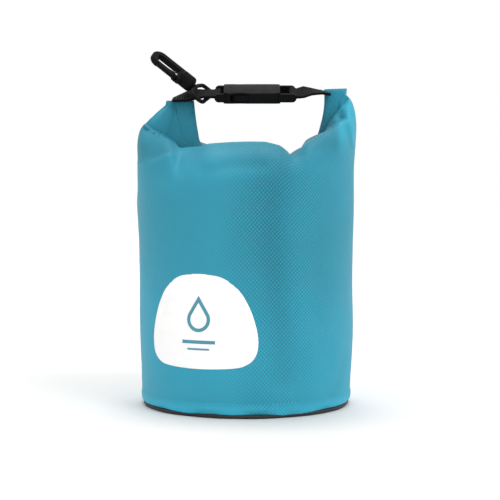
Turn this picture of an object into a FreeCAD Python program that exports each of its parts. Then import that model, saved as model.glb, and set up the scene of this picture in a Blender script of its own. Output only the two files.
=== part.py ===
"""Roll-top dry bag: a coated fabric tube on a round base, its mouth rolled shut and bent up into a carry
loop by a side-release buckle, with a plastic swivel hook on the buckle strap.

Millimetres. +X is the bag's right, +Y its back, +Z up. The origin is the centre of the base on the ground.
Each function makes one sub-part, and NODES at the end names them.
"""

import FreeCAD
import Part
import math
import os

from FreeCAD import Matrix, Rotation, Vector

# ---------------------------------------------------------------- driving dimensions of the bag
BAG_RADIUS = 85.0
FABRIC = 1.2            # wall of the coated fabric, with its lining
TOP_Z = 206.0           # crest of the front and back panels beside the roll
FIT_GAP = 0.3           # clearance between soft pieces that lie on each other

# (height, half width, half depth) of the filled tube, from its lower edge to its crest
BODY_SECTIONS = [
    (2.4, BAG_RADIUS - 2.0, BAG_RADIUS - 2.0),
    (22.0, BAG_RADIUS - 0.8, BAG_RADIUS - 0.8),
    (55.0, BAG_RADIUS - 0.2, BAG_RADIUS - 0.2),
    (95.0, BAG_RADIUS, BAG_RADIUS),
    (130.0, BAG_RADIUS, BAG_RADIUS - 1.4),
    (158.0, BAG_RADIUS, BAG_RADIUS - 7.0),
    (180.0, BAG_RADIUS, BAG_RADIUS - 18.0),
    (195.0, BAG_RADIUS, BAG_RADIUS - 32.0),
    (TOP_Z, BAG_RADIUS - 0.5, BAG_RADIUS - 50.0),
]

# the rolled mouth lies in a groove between the two crests
ROLL_HALF_DEPTH = 13.0
GROOVE_HALF_DEPTH = ROLL_HALF_DEPTH + 2.0
GROOVE_Z = 176.0
ROLL_BOTTOM_Z = GROOVE_Z + 2.0
ROLL_TOP_Z = 199.0

# ---------------------------------------------------------------- the strap line and its hardware
STRAP_Z = 247.0
STRAP_TILT = 16.0       # the strap leans, with its front edge lower
WEBBING_WIDTH = 24.6
WEBBING_HALF = 1.0      # half of two layers
BUCKLE_HALF_WIDTH = 16.5
BUCKLE_HALF_MID = 5.2   # half thickness on the centre line
BUCKLE_HALF_EDGE = 4.2  # half thickness at the sides
FEMALE_TAIL_X = -21.5   # centre of the socket's webbing bar
FEMALE_BACK_X = -17.6
MOUTH_X = 12.8
MALE_FACE_X = 12.86
MALE_BACK_X = 27.0
MALE_TAIL_X = 36.5      # centre of the plug's webbing bar
BAR_RADIUS = 1.5
ARM_INNER = 12.9        # side arms of both webbing slots
ARM_OUTER = 15.6
ARM_HALF_HEIGHT = 3.3
MOULDED_ROUND = 0.9     # rounding of the buckle's long edges
CAVITY_HALF_WIDTH = 14.4
CAVITY_HALF_HEIGHT = 2.8
WINDOW_X = (-12.2, 2.4)
LATCH_HALF_HEIGHT = 2.3
LATCH_HINGE = (12.0, 9.7)   # x and distance from the centre line

# ---------------------------------------------------------------- the swivel hook
EYE_CENTRE_X = -34.6    # where the eye's plane crosses the middle of the strap
EYE_HALF_WIDTH = 15.9
EYE_TOP_HALF_WIDTH = 7.5
EYE_TOP = 7.6           # bar above and bar below the strap, along the hook's axis
EYE_BOTTOM = -5.4
EYE_SHOULDER = 5.3      # height at which the loop starts to narrow
EYE_BAR_RADIUS = 1.6
EYE_YAW = 15.0          # turn of the eye about the strap's normal
HOOK_RISE = 36.0        # angle between the hook's long axis and the strap
HOOK_TWIST = -13.7      # turn of the hook on its swivel, away from the eye's plane
STEM_RADIUS = 1.8
RUNNING_CLEARANCE = 0.05
HEAD_RADIUS = 2.8
BARREL_RADIUS = 6.3
BARREL_BASE = 2.1       # distances along the hook from the eye's upper bar
BARREL_TOP = 15.4
RING_HALF_WIDTH = 8.0
RING_TIP = 43.4
RING_HALF_THICK = 2.5
RING_ROOT = 12.0        # the ring starts inside the barrel
RING_OPENING = 17.6     # lower end of the ring's opening
RING_ROUND = 1.1        # rounding of the ring's outer edges
SPINE_WIDTH = 4.7
GATE_WIDTH = 3.6
GATE_HALF_THICK = 1.7
GATE_PIVOT = (-5.6, 17.8)   # across and along the hook
GATE_PIN_RADIUS = 0.95
NOSE_END = 34.4


# ---------------------------------------------------------------- helpers
def box(x0, x1, y0, y1, z0, z1):
    return Part.makeBox(x1 - x0, y1 - y0, z1 - z0, Vector(x0, y0, z0))


def prism(points, direction):
    """A straight-sided solid from a closed outline of points, extruded along direction."""
    wire = Part.makePolygon([Vector(*p) for p in points] + [Vector(*points[0])])
    return Part.Face(wire).extrude(Vector(*direction))


def cylinder(radius, base, axis, length):
    return Part.makeCylinder(radius, length, Vector(*base), Vector(*axis))


def fuse_all(solids):
    whole = solids[0]
    for solid in solids[1:]:
        whole = whole.fuse(solid)
    return whole.removeSplitter()


def largest(shape):
    """The largest solid of a cut, which drops loose slivers."""
    return max(shape.Solids, key=lambda solid: solid.Volume)


def on_strap(shape):
    """Moves a shape from the strap's own frame (X along it, Z normal to it) to its place above the bag."""
    moved = shape.copy()
    moved.rotate(Vector(0, 0, 0), Vector(1, 0, 0), STRAP_TILT)
    moved.translate(Vector(0, 0, STRAP_Z))
    return moved


def strap_direction(vector):
    return Rotation(Vector(1, 0, 0), STRAP_TILT).multVec(vector)


def hook_frame(twist):
    """Placement of a shape made with X across the hook, Z along it and its origin on the eye's upper bar."""
    yaw = math.radians(EYE_YAW)
    rise = math.radians(HOOK_RISE)
    across = strap_direction(Vector(math.sin(yaw), math.cos(yaw), 0))
    along = strap_direction(
        Vector(-math.cos(rise) * math.cos(yaw), math.cos(rise) * math.sin(yaw), math.sin(rise))
    )
    normal = along.cross(across)
    turn = math.radians(twist)
    x_axis = across * math.cos(turn) + normal * math.sin(turn)
    y_axis = along.cross(x_axis)
    origin = Vector(EYE_CENTRE_X, 0, STRAP_Z) + along * EYE_TOP
    return Matrix(
        x_axis.x, y_axis.x, along.x, origin.x,
        x_axis.y, y_axis.y, along.y, origin.y,
        x_axis.z, y_axis.z, along.z, origin.z,
        0, 0, 0, 1,
    )


def on_hook(shape, twist=HOOK_TWIST):
    moved = shape.copy()
    moved.transformShape(hook_frame(twist))
    return moved


# ---------------------------------------------------------------- the fabric bag
def body_solid(grow, top=TOP_Z):
    """The filled tube's outer form, grown by a distance, up to a height."""
    wires = []
    for z, half_width, half_depth in BODY_SECTIONS:
        curve = Part.Ellipse(Vector(0, 0, z), half_width + grow + 1e-4, half_depth + grow)
        wires.append(Part.Wire([curve.toShape()]))
    solid = Part.makeLoft(wires, True, False)
    if top < TOP_Z:
        reach = 2 * BAG_RADIUS
        solid = solid.common(box(-reach, reach, -reach, reach, 0, top))
    return solid


def groove(grow):
    """The channel between the crests, where the rolled mouth lies."""
    reach = BAG_RADIUS + 10
    half = GROOVE_HALF_DEPTH + grow
    return box(-reach, reach, -half, half, GROOVE_Z - grow, TOP_Z + 10)


def body_shell():
    """One closed fabric shell: the tube's wall, the two crests and the floor of the groove."""
    outer = body_solid(0).cut(groove(0))
    inner = body_solid(-FABRIC, TOP_Z - FABRIC).cut(groove(FABRIC))
    return largest(outer.cut(inner))


BASE_RADIUS = BAG_RADIUS - 3.6
UPSTAND_HEIGHT = 14.0


def base_panel():
    """Round dark base: a disc that carries the tube's lower edge, with an upstand welded inside the tube."""
    wall = BASE_RADIUS - 1.2
    edge = BAG_RADIUS - 2.4
    outline = [
        (0, 0, 0), (edge - 1.2, 0, 0), (edge, 0, 1.0), (edge, 0, 2.2), (BASE_RADIUS, 0, 2.2),
        (BASE_RADIUS, 0, UPSTAND_HEIGHT), (wall, 0, UPSTAND_HEIGHT), (wall, 0, 1.4), (0, 0, 1.4),
    ]
    face = Part.Face(Part.makePolygon([Vector(*p) for p in outline] + [Vector(*outline[0])]))
    return face.revolve(Vector(0, 0, 0), Vector(0, 0, 1), 360)


def base_seam_tape():
    """Sealing tape inside, over the joint of base and upstand."""
    outer = BASE_RADIUS - 1.2 - 0.1
    ring = Part.makeCylinder(outer, 16.0, Vector(0, 0, 1.6))
    return ring.cut(Part.makeCylinder(outer - 0.4, 20.0, Vector(0, 0, 1.0)))


def skin_layer(inner_grow, outer_grow, bounds):
    """A thin layer that follows the tube's surface inside a bounding solid."""
    return body_solid(outer_grow).cut(body_solid(inner_grow)).common(bounds)


def base_seam_band():
    """The doubled hem that runs round the outside of the lower edge."""
    reach = 2 * BAG_RADIUS
    return largest(skin_layer(0.15, 0.95, box(-reach, reach, -reach, reach, 2.6, 15.0)))


SIDE_SEAM_HALF = 6.0


def side_seam():
    """The overlapped edge of the tube's fabric, up the middle of the back."""
    bounds = box(-SIDE_SEAM_HALF, SIDE_SEAM_HALF, 0, 2 * BAG_RADIUS, 15.4, 176.0)
    return largest(skin_layer(0.15, 0.95, bounds))


def side_seam_tape():
    """Sealing tape inside, over the back seam."""
    bounds = box(-10, 10, 0, 2 * BAG_RADIUS, UPSTAND_HEIGHT + 6, 165.0)
    return largest(skin_layer(-FABRIC - 0.5, -FABRIC - 0.15, bounds))


# The print's outline, as distance from its upright centre line and height above the ground
PRINT_HALF_OUTLINE = [
    (0, 108.6), (17.1, 106.3), (29.5, 97.7), (37.5, 84.7), (42.3, 69.8), (44, 57.3),
    (42.4, 47.1), (36.6, 40.8), (26.6, 38.1), (0, 36.9),
]
PRINT_TURN = -25.2      # turn of the print from the bag's front, about +Z


def print_bounds(outline):
    """An outline in the print's upright plane, extruded out through the front of the bag."""
    face = Part.Face(outline)
    solid = face.extrude(Vector(0, -2 * BAG_RADIUS, 0))
    solid.rotate(Vector(0, 0, 0), Vector(0, 0, 1), PRINT_TURN)
    return solid


def print_patch():
    """White printed panel on the front, low on the left."""
    right = [Vector(a, 0, z) for a, z in PRINT_HALF_OUTLINE]
    left = [Vector(-a, 0, z) for a, z in reversed(PRINT_HALF_OUTLINE[1:-1])]
    curve = Part.BSplineCurve()
    curve.interpolate(right + left, PeriodicFlag=True)
    return largest(skin_layer(0.15, 0.45, print_bounds(Part.Wire([curve.toShape()]))))


MARK_CENTRE_Z = 74.2
MARK_DROP_RADIUS = 9.4
MARK_LINE = 2.6
MARK_BARS = [(56.0, 13.5, 2.5), (51.2, 9.0, 1.3)]   # lower edge, half width and height of each bar


def drop_wire(radius):
    """A water drop: a circle's lower arc and two straight sides that meet above it."""
    tip = Vector(0, 0, MARK_CENTRE_Z + 1.9 * radius)
    lean = math.radians(30)
    right = Vector(radius * math.cos(lean), 0, MARK_CENTRE_Z + radius * math.sin(lean))
    left = Vector(-right.x, 0, right.z)
    bottom = Vector(0, 0, MARK_CENTRE_Z - radius)
    return Part.Wire(
        [Part.Arc(right, bottom, left).toShape(), Part.makeLine(left, tip), Part.makeLine(tip, right)]
    )


def print_mark():
    """Generic mark on the print: an open water drop over two plain bars."""
    layer = body_solid(0.75).cut(body_solid(0.5))
    drop = print_bounds(drop_wire(MARK_DROP_RADIUS)).cut(
        print_bounds(drop_wire(MARK_DROP_RADIUS - MARK_LINE))
    )
    solids = [largest(layer.common(drop))]
    for z, half, height in MARK_BARS:
        top = z + height
        corners = [(-half, z), (half, z), (half, top), (-half, top), (-half, z)]
        bar = Part.makePolygon([Vector(across, 0, up) for across, up in corners])
        solids.append(largest(layer.common(print_bounds(bar))))
    return Part.Compound(solids)


# ---------------------------------------------------------------- the rolled mouth
def under_strap(clearance):
    """Everything above a plane that lies this far under the strap's centre plane."""
    reach = 2 * BAG_RADIUS
    return on_strap(box(-reach, reach, -reach, reach, -clearance, reach))


LEFT_EAR = [
    (-83.5, GROOVE_Z + 8), (-84.5, 200), (-80.5, 219), (-58, 244), (-48, 248), (-46, 236), (-42.5, 215),
    (-41.5, ROLL_TOP_Z),
]
RIGHT_EAR_ROOT_X = 52.0
STRAP_POCKET_X = 58.0   # the strap's end lies in a pocket that starts here
RIGHT_EAR = [
    (RIGHT_EAR_ROOT_X, ROLL_BOTTOM_Z), (82, ROLL_BOTTOM_Z), (85.5, 190), (87.2, 232), (77, 251), (63, 251),
    (61.5, 236), (55.5, 211), (RIGHT_EAR_ROOT_X, ROLL_TOP_Z),
]


def rolled_mouth():
    """The mouth rolled down three turns, with its left end bent up into the carry loop."""
    outline = [(RIGHT_EAR_ROOT_X - FIT_GAP, ROLL_BOTTOM_Z), (RIGHT_EAR_ROOT_X - FIT_GAP, ROLL_TOP_Z)]
    outline += list(reversed(LEFT_EAR)) + [(-78, ROLL_BOTTOM_Z)]
    solid = prism(
        [(x, -ROLL_HALF_DEPTH, z) for x, z in outline], (0, 2 * ROLL_HALF_DEPTH, 0)
    )
    solid = solid.cut(under_strap(WEBBING_HALF + FIT_GAP))
    return largest(solid.cut(stiffener_slot()))


def rolled_end_right():
    """The roll's right end, which bends outward as the buckle opens."""
    solid = prism(
        [(x, -ROLL_HALF_DEPTH, z) for x, z in RIGHT_EAR], (0, 2 * ROLL_HALF_DEPTH, 0)
    )
    pocket_half = WEBBING_HALF + 2 * FIT_GAP
    solid = solid.cut(on_strap(box(STRAP_POCKET_X, RIGHT_ANCHOR_X + 3, -20, 20, -pocket_half, pocket_half)))
    return largest(solid.cut(stiffener_slot()))


# centre line of the stiffener inside the roll, from the left ear's tip to the right one's
STIFFENER_LINE = [(-52, 239), (-60, 205), (-48, 189), (48, 189), (66, 205), (70, 238)]
STIFFENER_HALF = 0.6
STIFFENER_HALF_DEPTH = 10.0


def stiffener(half_thickness, half_depth, x0, x1):
    """The strip's band, as wide as half_depth each side, between two upright planes."""
    solids = []
    for (xa, za), (xb, zb) in zip(STIFFENER_LINE, STIFFENER_LINE[1:]):
        run = Vector(xb - xa, 0, zb - za)
        side = Vector(-run.z, 0, run.x).normalize() * half_thickness
        corners = [
            (xa - side.x, -half_depth, za - side.z), (xb - side.x, -half_depth, zb - side.z),
            (xb + side.x, -half_depth, zb + side.z), (xa + side.x, -half_depth, za + side.z),
        ]
        solids.append(prism(corners, (0, 2 * half_depth, 0)))
        solids.append(cylinder(half_thickness, (xb, -half_depth, zb), (0, 1, 0), 2 * half_depth))
    band = fuse_all(solids)
    return largest(band.common(box(x0, x1, -50, 50, 0, 2 * STRAP_Z)))


def stiffener_slot():
    reach = 2 * BAG_RADIUS
    return stiffener(STIFFENER_HALF + 0.2, STIFFENER_HALF_DEPTH + 0.2, -reach, reach)


def stiffener_strip():
    """Webbing strip sewn along the mouth and rolled inside it."""
    return stiffener(STIFFENER_HALF, STIFFENER_HALF_DEPTH, -2 * BAG_RADIUS, RIGHT_EAR_ROOT_X - FIT_GAP)


def stiffener_end_right():
    return stiffener(STIFFENER_HALF, STIFFENER_HALF_DEPTH, RIGHT_EAR_ROOT_X + FIT_GAP, 2 * BAG_RADIUS)


# ---------------------------------------------------------------- straps
LEFT_ANCHOR_X = -56.0
RIGHT_ANCHOR_X = 66.0
LOOP_JOIN = 4.4         # from the bar's centre to where the two layers meet
STITCH_ROWS = 5


def loop_profile(bar_x, anchor_x, half_band, loop_radius):
    """Side view of a strap that runs from its anchor to a bar and turns round it."""
    toward = math.copysign(1.0, anchor_x - bar_x)
    lean = math.radians(60)
    top = Vector(bar_x + toward * loop_radius * math.cos(lean), 0, loop_radius * math.sin(lean))
    join = Vector(bar_x + toward * LOOP_JOIN, 0, half_band)
    end = Vector(anchor_x, 0, half_band)
    far = Vector(bar_x - toward * loop_radius, 0, 0)
    flip = [Vector(p.x, 0, -p.z) for p in (top, join, end)]
    return Part.Wire(
        [
            Part.makeLine(end, join), Part.makeLine(join, top), Part.Arc(top, far, flip[0]).toShape(),
            Part.makeLine(flip[0], flip[1]), Part.makeLine(flip[1], flip[2]), Part.makeLine(flip[2], end),
        ]
    )


def strap(bar_x, anchor_x):
    """Webbing folded round a buckle's bar, its two layers sewn together up to the roll's end."""
    toward = math.copysign(1.0, anchor_x - bar_x)
    outer = loop_profile(bar_x, anchor_x, WEBBING_HALF, BAR_RADIUS + 0.15 + WEBBING_HALF)
    hole = loop_profile(bar_x, bar_x + toward * (LOOP_JOIN + 0.1), 0.02, BAR_RADIUS + 0.15)
    face = Part.Face(outer).cut(Part.Face(hole))
    solid = face.extrude(Vector(0, WEBBING_WIDTH, 0))
    solid.translate(Vector(0, -WEBBING_WIDTH / 2, 0))
    return on_strap(largest(solid))


def stitching(anchor_x, toward):
    """Rows of thread that tack the strap to the roll's end."""
    rows = []
    for row in range(STITCH_ROWS):
        x = anchor_x + toward * (1.2 + 1.3 * row)
        rows.append(
            on_strap(box(x - 0.3, x + 0.3, -10.5, 10.5, WEBBING_HALF + 0.02, WEBBING_HALF + 0.32))
        )
    return Part.Compound(rows)


# ---------------------------------------------------------------- the side-release buckle
def lens_prism(x0, x1, half_width=BUCKLE_HALF_WIDTH):
    """A bar along X whose upper and lower faces are crowned."""
    w, e, m = half_width, BUCKLE_HALF_EDGE, BUCKLE_HALF_MID
    wire = Part.Wire(
        [
            Part.Arc(Vector(x0, -w, -e), Vector(x0, 0, -m), Vector(x0, w, -e)).toShape(),
            Part.makeLine(Vector(x0, w, -e), Vector(x0, w, e)),
            Part.Arc(Vector(x0, w, e), Vector(x0, 0, m), Vector(x0, -w, e)).toShape(),
            Part.makeLine(Vector(x0, -w, e), Vector(x0, -w, -e)),
        ]
    )
    bar = Part.Face(wire).extrude(Vector(x1 - x0, 0, 0))
    middle = (x0 + x1) / 2
    along = [e for e in bar.Edges if abs(e.CenterOfMass.x - middle) < 0.01 and abs(e.CenterOfMass.y) > w - 1]
    return bar.makeFillet(MOULDED_ROUND, along)


def webbing_frame(back_x, bar_x):
    """The two side arms with rounded ends, and the round bar that the webbing turns round."""
    x0, x1 = min(back_x, bar_x), max(back_x, bar_x)
    solids = []
    for side in (-1, 1):
        y0, y1 = sorted((side * ARM_INNER, side * ARM_OUTER))
        solids.append(box(x0, x1, y0, y1, -ARM_HALF_HEIGHT, ARM_HALF_HEIGHT))
        solids.append(cylinder(ARM_HALF_HEIGHT, (bar_x, y0, 0), (0, 1, 0), y1 - y0))
    solids.append(cylinder(BAR_RADIUS, (bar_x, -ARM_INNER - 0.5, 0), (0, 1, 0), 2 * ARM_INNER + 1))
    return solids


def buckle_female():
    """Buckle socket: a flat shell open at the mouth, with a window each side for the latches."""
    shell = lens_prism(FEMALE_BACK_X, MOUTH_X)
    cavity = box(
        -14.0, MOUTH_X + 1, -CAVITY_HALF_WIDTH, CAVITY_HALF_WIDTH, -CAVITY_HALF_HEIGHT, CAVITY_HALF_HEIGHT
    )
    shell = shell.cut(cavity)
    for side in (-1, 1):
        y0, y1 = sorted((side * 12.0, side * 20.0))
        shell = shell.cut(box(WINDOW_X[0], WINDOW_X[1], y0, y1, -CAVITY_HALF_HEIGHT, CAVITY_HALF_HEIGHT))
        scallop = cylinder(16.0, (sum(WINDOW_X) / 2, side * 31.0, -10), (0, 0, 1), 20)
        shell = shell.cut(scallop)
        corner = prism(
            [(FEMALE_BACK_X - 1, side * 14.2, -10), (FEMALE_BACK_X - 1, side * 20, -10),
             (FEMALE_BACK_X + 5, side * 20, -10), (FEMALE_BACK_X + 5, side * 16.5, -10)],
            (0, 0, 20),
        )
        shell = shell.cut(corner)
    return on_strap(largest(fuse_all([shell] + webbing_frame(FEMALE_BACK_X + 1, FEMALE_TAIL_X))))


def buckle_male():
    """Buckle plug: a shoulder, a centre guide and the webbing slot; its two latches are separate pieces."""
    shoulder = lens_prism(MALE_FACE_X, MALE_BACK_X)
    for side in (-1, 1):
        corner = prism(
            [(MALE_BACK_X + 1, side * 14.2, -10), (MALE_BACK_X + 1, side * 20, -10),
             (MALE_BACK_X - 5, side * 20, -10), (MALE_BACK_X - 5, side * 16.5, -10)],
            (0, 0, 20),
        )
        shoulder = shoulder.cut(corner)
    guide = prism(
        [(MALE_FACE_X + 1, -4, -2.2), (-4, -3.2, -2.2), (-7, -1.6, -2.2), (-7, 1.6, -2.2), (-4, 3.2, -2.2),
         (MALE_FACE_X + 1, 4, -2.2)],
        (0, 0, 4.4),
    )
    return on_strap(largest(fuse_all([shoulder, guide] + webbing_frame(MALE_BACK_X - 1, MALE_TAIL_X))))


def latch(side):
    """One springy latch arm with its thumb pad, which shows in the socket's window."""
    outline = [
        (12.2, 8.2), (12.7, 9.0), (12.7, 10.4), (12.2, 11.2), (4.0, 12.9), (2.1, 13.2), (2.1, 16.4),
        (-2.5, 17.0), (-8.0, 16.2), (-11.6, 13.4), (-11.8, 10.6), (-8.0, 9.6), (4.0, 9.4),
    ]
    h = LATCH_HALF_HEIGHT
    return on_strap(prism([(x, side * y, -h) for x, y in outline], (0, 0, 2 * h)))


# ---------------------------------------------------------------- the swivel hook
def rod_loop(corners, rod_radius):
    """A closed rod in the plane y = 0: straight runs between corners (x, z, bend radius), joined by arcs."""
    solids = []
    count = len(corners)
    cuts = []
    for index, (x, z, bend) in enumerate(corners):
        here = Vector(x, 0, z)
        before = Vector(corners[index - 1][0], 0, corners[index - 1][1])
        after = Vector(corners[(index + 1) % count][0], 0, corners[(index + 1) % count][1])
        to_before = (before - here).normalize()
        to_after = (after - here).normalize()
        half = to_before.getAngle(to_after) / 2
        reach = bend / math.tan(half)
        start, end = here + to_before * reach, here + to_after * reach
        centre = here + (to_before + to_after).normalize() * (bend / math.sin(half))
        circle = Part.makeCircle(rod_radius, start, to_before)
        turn = math.degrees(math.pi - 2 * half)
        axis = (start - centre).cross(end - centre).normalize()
        solids.append(Part.Face(Part.Wire([circle])).revolve(centre, axis, turn))
        cuts.append((start, end))
    for index, (start, end) in enumerate(cuts):
        run = cuts[(index + 1) % count][0] - end
        solids.append(Part.makeCylinder(rod_radius, run.Length, end, run))
    return fuse_all(solids)


def hook_eye():
    """Loop round the strap, narrower at its top, with the stem and head that the hook turns on."""
    w, top_w, low = EYE_HALF_WIDTH, EYE_TOP_HALF_WIDTH, EYE_BOTTOM - EYE_TOP
    shoulder = EYE_SHOULDER - EYE_TOP
    loop = rod_loop(
        [(-w, low, 3.4), (w, low, 3.4), (w, shoulder, 3), (top_w, 0, 5), (-top_w, 0, 5), (-w, shoulder, 3)],
        EYE_BAR_RADIUS,
    )
    collar = cylinder(2.6, (0, 0, -0.4), (0, 0, 1), 2.2)
    stem = cylinder(STEM_RADIUS, (0, 0, 1.0), (0, 0, 1), 7.0)
    head = Part.makeCone(HEAD_RADIUS, 1.2, 2.6, Vector(0, 0, 6.6), Vector(0, 0, 1))
    return on_hook(fuse_all([loop, collar, stem, head]), 0.0)


def ring_outline(inset):
    """Right-hand half of the hook's outline: a straight spine and a round tip, moved in by a distance."""
    radius = RING_HALF_WIDTH - inset
    tip = RING_TIP - RING_HALF_WIDTH
    return Part.Wire(
        [
            Part.makeLine(Vector(-radius, 0, RING_ROOT), Vector(radius, 0, RING_ROOT)),
            Part.makeLine(Vector(radius, 0, RING_ROOT), Vector(radius, 0, tip)),
            Part.Arc(Vector(radius, 0, tip), Vector(0, 0, tip + radius), Vector(-radius, 0, tip)).toShape(),
            Part.makeLine(Vector(-radius, 0, tip), Vector(-radius, 0, RING_ROOT)),
        ]
    )


def slab(wire, half):
    solid = Part.Face(wire).extrude(Vector(0, 2 * half, 0))
    solid.translate(Vector(0, -half, 0))
    return solid


def hook_body():
    """Barrel and open ring in one moulding. The ring is closed by the gate."""
    ring = slab(ring_outline(0), RING_HALF_THICK)
    on_face = [e for e in ring.Edges if abs(abs(e.CenterOfMass.y) - RING_HALF_THICK) < 0.01]
    ring = ring.makeFillet(RING_ROUND, [e for e in on_face if e.CenterOfMass.z > RING_ROOT + 1])
    inner = slab(ring_outline(SPINE_WIDTH), 10)
    inner = inner.common(box(-20, 20, -20, 20, RING_OPENING, 60))
    ring = ring.cut(inner)
    gate_side = RING_HALF_WIDTH - SPINE_WIDTH
    ring = ring.cut(box(-20, -gate_side + 0.01, -20, 20, RING_OPENING, NOSE_END))
    ring = ring.cut(box(-20, -1.6, -20, 20, BARREL_TOP, NOSE_END - 10))
    ring = ring.cut(box(-5.9, -gate_side + 1, -10, 10, NOSE_END - 1, NOSE_END + 1.6))
    cheeks = []
    for side in (-1, 1):
        y0, y1 = sorted((side * (GATE_HALF_THICK + 0.15), side * (RING_HALF_THICK + 0.5)))
        cheeks.append(box(-7.6, -1.2, y0, y1, 13.0, GATE_PIVOT[1]))
        cheeks.append(cylinder(2.0, (GATE_PIVOT[0], y0, GATE_PIVOT[1]), (0, 1, 0), y1 - y0))
    barrel = Part.makeCylinder(BARREL_RADIUS, BARREL_TOP - BARREL_BASE, Vector(0, 0, BARREL_BASE))
    for z, fillet in ((BARREL_TOP, 2.4), (BARREL_BASE, 3.0)):
        barrel = barrel.makeFillet(fillet, [e for e in barrel.Edges if abs(e.CenterOfMass.z - z) < 0.01])
    whole = fuse_all([barrel, ring] + cheeks)
    slot = box(-20, -2.6, -GATE_HALF_THICK - 0.15, GATE_HALF_THICK + 0.15, 15.4, NOSE_END - 10)
    whole = whole.cut(slot)
    bore = cylinder(STEM_RADIUS + RUNNING_CLEARANCE, (0, 0, 0), (0, 0, 1), 8)
    cavity = cylinder(HEAD_RADIUS + 0.3, (0, 0, 6.3), (0, 0, 1), 3.3)
    pin_hole = cylinder(GATE_PIN_RADIUS, (GATE_PIVOT[0], -10, GATE_PIVOT[1]), (0, 1, 0), 20)
    return on_hook(largest(whole.cut(bore).cut(cavity).cut(pin_hole)))


def hook_gate():
    """Straight spring gate, rounded at its pivot and stepped at its tip to close behind the nose."""
    x0, x1 = -RING_HALF_WIDTH + 0.3, -RING_HALF_WIDTH + 0.3 + GATE_WIDTH
    h = GATE_HALF_THICK
    bar = box(x0, x1, -h, h, GATE_PIVOT[1], NOSE_END - 0.3)
    tongue = box(-5.7, x1, -h, h, NOSE_END - 2, NOSE_END + 1.3)
    root = cylinder(2.0, (GATE_PIVOT[0], -h, GATE_PIVOT[1]), (0, 1, 0), 2 * h)
    gate = fuse_all([bar, tongue, root])
    hole = cylinder(GATE_PIN_RADIUS + RUNNING_CLEARANCE, (GATE_PIVOT[0], -10, GATE_PIVOT[1]), (0, 1, 0), 20)
    return on_hook(largest(gate.cut(hole)))


def gate_pin():
    """Steel pin through both cheeks of the hook and the gate's root."""
    half = RING_HALF_THICK + 0.5
    return on_hook(
        cylinder(GATE_PIN_RADIUS, (GATE_PIVOT[0], -half, GATE_PIVOT[1]), (0, 1, 0), 2 * half)
    )


def gate_spring():
    """Thin steel leaf between the hook's bridge and the gate, which pushes the gate shut."""
    leaf = prism(
        [(-1.5, -1.2, 18.0), (-1.1, -1.2, 18.0), (-3.4, -1.2, 26.0), (-3.8, -1.2, 26.0)], (0, 2.4, 0)
    )
    return on_hook(leaf)


# ---------------------------------------------------------------- every sub-part, by node name
NODES = {
    "body_shell": body_shell,
    "base_panel": base_panel,
    "base_seam_band": base_seam_band,
    "base_seam_tape": base_seam_tape,
    "side_seam": side_seam,
    "side_seam_tape": side_seam_tape,
    "print_patch": print_patch,
    "print_mark": print_mark,
    "rolled_mouth": rolled_mouth,
    "rolled_end_right": rolled_end_right,
    "stiffener_strip": stiffener_strip,
    "stiffener_end_right": stiffener_end_right,
    "strap_left": lambda: strap(FEMALE_TAIL_X, LEFT_ANCHOR_X),
    "strap_right": lambda: strap(MALE_TAIL_X, RIGHT_ANCHOR_X),
    "stitching_left": lambda: stitching(LEFT_ANCHOR_X, 1),
    "stitching_right": lambda: stitching(RIGHT_ANCHOR_X, -1),
    "buckle_female": buckle_female,
    "buckle_male": buckle_male,
    "latch_front": lambda: latch(-1),
    "latch_rear": lambda: latch(1),
    "hook_eye": hook_eye,
    "hook_body": hook_body,
    "hook_gate": hook_gate,
    "gate_pin": gate_pin,
    "gate_spring": gate_spring,
}


def main():
    os.makedirs("parts", exist_ok=True)
    for name, make in NODES.items():
        shape = make()
        if not shape.isValid() or not shape.Solids or min(s.Volume for s in shape.Solids) <= 0:
            raise ValueError(f"{name} isn't a valid solid")
        shape.exportStep(f"parts/{name}.step")
        print(f"{name}: {len(shape.Solids)} solids, {shape.Volume / 1000:.3f} cm3")


main()
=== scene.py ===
"""Looks of a roll-top dry bag, standing on its base with its buckle closed over the roll.

The pieces' points are in millimetres and are scaled to metres where a mesh is made. Patterns in the
materials, the camera and the floor are in metres. X runs along the roll, Y to the back, Z up.
"""

from math import copysign, cos, exp, pi, radians, sin

import bpy
import numpy as np
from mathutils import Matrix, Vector
from mathutils.bvhtree import BVHTree


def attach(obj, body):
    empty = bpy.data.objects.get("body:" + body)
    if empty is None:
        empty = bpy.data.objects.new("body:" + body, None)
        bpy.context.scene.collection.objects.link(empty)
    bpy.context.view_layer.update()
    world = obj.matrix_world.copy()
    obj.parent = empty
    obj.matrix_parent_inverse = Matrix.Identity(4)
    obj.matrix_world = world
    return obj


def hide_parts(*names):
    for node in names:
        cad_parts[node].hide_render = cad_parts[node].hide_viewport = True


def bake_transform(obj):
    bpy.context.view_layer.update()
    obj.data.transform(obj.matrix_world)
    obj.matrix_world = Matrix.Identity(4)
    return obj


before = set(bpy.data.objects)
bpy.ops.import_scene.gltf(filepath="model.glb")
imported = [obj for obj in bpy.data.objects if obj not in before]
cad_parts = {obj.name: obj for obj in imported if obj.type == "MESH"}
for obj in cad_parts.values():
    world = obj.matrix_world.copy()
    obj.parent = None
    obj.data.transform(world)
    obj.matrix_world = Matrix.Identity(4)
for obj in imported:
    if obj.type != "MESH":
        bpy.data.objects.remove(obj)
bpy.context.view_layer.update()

MM = 0.001
FULL_TURN = 2 * pi

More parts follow.
